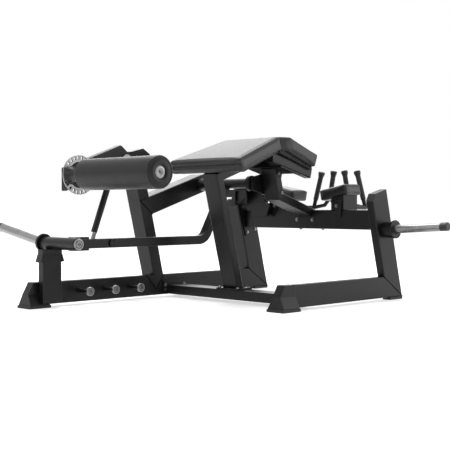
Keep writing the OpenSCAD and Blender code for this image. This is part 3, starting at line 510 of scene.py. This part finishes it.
HORN_ROOT = Vector((-0.870, 0.548, 0.3465))
HORN_WAY = Vector((0, 0.984196, 0.177085))
HORN_CAP_FROM = 0.400  # along the horn from its root
lathe("loading_horn_cap", HORN_ROOT + HORN_WAY * HORN_CAP_FROM, HORN_WAY,
      [(24.1 * MM, 0), (24.7 * MM, 0.6 * MM), (24.7 * MM, 22 * MM), (21.5 * MM, 27.3 * MM),
       (INNER, 27.4 * MM), (INNER, 26.6 * MM), (20 * MM, 26.6 * MM), (24.1 * MM, 22 * MM)],
      "plastic", "lever", 64)


# flat bracket plates under the side rest and on the far end of the upper beam

plate("side_rest_gusset", 560, 569, [(514, 643), (408, 643), (405, 600), (479, 552), (548, 562), (520, 631)])
plate("far_upright_lip", 566, 574, [(622, 645), (507, 645), (507, 596), (622, 596)])
plate("side_rest_riser", 616, 624, [(454, 643), (371, 637), (311, 605), (298, 561), (298, 510), (454, 510)])
plate("beam_saddle", 608, 628, [(387, 564), (294, 564), (256, 537), (278, 479), (414, 479), (387, 551)])


# seam lines where tubes meet, near-black beads as painted shade in the joints: the y of the face, then both
# ends as (x, z)

NEAR_FACE, FAR_FACE = -557, 507
SEAM_BEAD_RADIUS = 2.2
MITRES = {
    "near_corner": (NEAR_FACE, (691, 135), (871.8, 15)),
    "far_corner": (FAR_FACE, (691, 135), (871.8, 15)),
    "knee_beam": (FAR_FACE, (-227, 572), (-131.4, 491.6)),
    "knee_foot_front": (FAR_FACE, (-180, 135), (-104, 48)),
    "knee_foot_back": (FAR_FACE, (-45, 135), (-104, 48)),
}
for name, (y, (x0, z0), (x1, z1)) in MITRES.items():
    seam = bead(name + "_seam", (x0, y, z0), (x1, y, z1), SEAM_BEAD_RADIUS, "frame_paint", "frame")
    seam.data.materials[0] = PAINTED_GAP_SHADE


# crescent notch on the lever: a near-black round disc as the notch's painted shade, and a plug that leaves
# its edge open

LEVER_Z = 0.3425
notch = disc("lever_notch", (-0.633, 0.263, LEVER_Z), 18.9 * MM, 0.6 * MM, "rubber", "lever")
notch.data.materials[0] = PAINTED_GAP_SHADE
disc("lever_notch_plug", (-0.622, 0.264, LEVER_Z), 19 * MM, 2.2 * MM, "frame_paint", "lever")


# spool between the roller and the crank, and the knurled stem at the foot of the link rod

SPOOL = [(33.2, 4), (46, 4), (46, 9), (38, 22), (35, 40),
         (35, 78), (39, 98), (48, 112), (48, 118), (33.2, 118)]
lathe("crank_spool", (ROLLER_X, 0.212, ROLLER_Z), (0, 1, 0), [(r * MM, d * MM) for r, d in SPOOL],
      "frame_paint", "crank")

LINK_FOOT = Vector((-0.712, 0.327, 0.345))
LINK_WAY = Vector((0.152, 0, 0.395)).normalized()
KNURLS, KNURL_FROM, KNURL_STEP = 6, 24, 6  # count, then millimetres along the rod
for k in range(KNURLS):
    at = LINK_FOOT + LINK_WAY * (KNURL_FROM + KNURL_STEP * k) * MM
    ring(f"link_stem_knurl_{k}", at, LINK_WAY, 8 * MM, 3 * MM, "chrome", "link")


# slot walls of the selector disc, painted black as the shade inside the slots: painted shade

SLOTS_FROM, SLOTS_TO = 0.072, 0.1015  # distance from the disc's axis
selector = nodes["selector_disc"].data
selector.materials.append(DIRECT["frame_paint"])
for face in selector.polygons:
    reach = Vector((face.center.x - DISC_AT[0], face.center.z - DISC_AT[2])).length
    if abs(face.normal.y) < 0.5 and SLOTS_FROM < reach < SLOTS_TO:
        face.material_index = 1


# floor, light and camera

FLOOR_HALF = 40.0
FLOOR_NEAR, FLOOR_FAR = 1.0, 2.8  # between these the floor's glow rises to white
FLOOR_GLOW_NEAR = 0.58
WORLD_LIGHT = 0.30
LAMPS = {  # place, target, width, height, watts
    "top_softbox": ((0.6, 0.8, 4.2), (0, 0, 0.5), 3.0, 3.0, 150),
    "back_softbox": ((2.7, 3.2, 2.3), (0, 0, 0.7), 3.0, 3.0, 60),
    "left_softbox": ((-4.5, 1.5, 2.6), (0, 0, 0.6), 2.0, 2.0, 25),
    "right_strip": ((3.66, -3.41, 1.75), (0, 0, 0.6), 3.0, 1.6, 40),
}


def seen_ray(tree):
    """1 for rays that show the backdrop, straight or in a reflection, and 0 for those that light."""
    rays = add(tree, "ShaderNodeLightPath")
    return add(tree, "ShaderNodeMath", [
        (0, rays.outputs["Is Camera Ray"]), (1, rays.outputs["Is Glossy Ray"])],
        operation="MAXIMUM").outputs[0]


def floor():
    """A pale floor that takes the shadow and is seen as white further off."""
    half = FLOOR_HALF
    mesh = bpy.data.meshes.new("floor")
    corners = [(-half, -half, 0), (half, -half, 0), (half, half, 0), (-half, half, 0)]
    mesh.from_pydata(corners, [], [(0, 1, 2, 3)])
    obj = bpy.data.objects.new("floor", mesh)
    bpy.context.scene.collection.objects.link(obj)
    mat, tree, bsdf = start_material("floor_white")
    out = tree.nodes["Material Output"]
    link = tree.links.new
    eye = seen_ray(tree)
    away = add(tree, "ShaderNodeVectorMath", [(0, add(tree, "ShaderNodeTexCoord").outputs["Object"])],
               operation="LENGTH").outputs["Value"]
    near = add(tree, "ShaderNodeMapRange", [
        (0, away), (1, FLOOR_NEAR), (2, FLOOR_FAR), (3, FLOOR_GLOW_NEAR), (4, 1.0)],
        interpolation_type="SMOOTHSTEP").outputs[0]
    lift = add(tree, "ShaderNodeMath", [(0, eye), (1, near)], operation="MULTIPLY").outputs[0]
    glow = add(tree, "ShaderNodeEmission", [("Color", (1, 1, 1, 1)), ("Strength", lift)])
    total = add(tree, "ShaderNodeAddShader", [(0, glow.outputs[0])])
    bsdf.inputs["Base Color"].default_value = (0.80, 0.80, 0.80, 1)
    bsdf.inputs["Roughness"].default_value = 0.9
    bsdf.inputs["Specular IOR Level"].default_value = 0.0
    link(bsdf.outputs[0], total.inputs[1])
    link(total.outputs[0], out.inputs["Surface"])
    mesh.materials.append(mat)


def world():
    """White where it is seen, a plain pale grey where it only lights."""
    w = bpy.data.worlds.new("studio")
    bpy.context.scene.world = w
    w.use_nodes = True
    tree = w.node_tree
    back = tree.nodes["Background"]
    level = add(tree, "ShaderNodeMapRange", [(0, seen_ray(tree)), (3, WORLD_LIGHT), (4, 1.0)]).outputs[0]
    back.inputs["Color"].default_value = (1, 1, 1, 1)
    tree.links.new(level, back.inputs["Strength"])


def lamp(name, at, target, width, height, power):
    data = bpy.data.lights.new(name, "AREA")
    data.shape = "RECTANGLE"
    data.size = width
    data.size_y = height
    data.energy = power
    obj = bpy.data.objects.new(name, data)
    bpy.context.scene.collection.objects.link(obj)
    obj.location = at
    obj.rotation_euler = (Vector(target) - Vector(at)).to_track_quat("-Z", "Y").to_euler()


def camera():
    data = bpy.data.cameras.new("photo_camera")
    data.sensor_width = 36
    data.lens = CAMERA_LENS
    data.clip_end = 200
    obj = bpy.data.objects.new("photo_camera", data)
    bpy.context.scene.collection.objects.link(obj)
    obj.location = CAMERA_AT
    obj.rotation_euler = (radians(90 - CAMERA_PITCH), 0, radians(CAMERA_YAW - 90))
    bpy.context.scene.camera = obj


floor()
world()
for name, values in LAMPS.items():
    lamp(name, *values)
camera()
bpy.context.scene.view_settings.view_transform = "Standard"
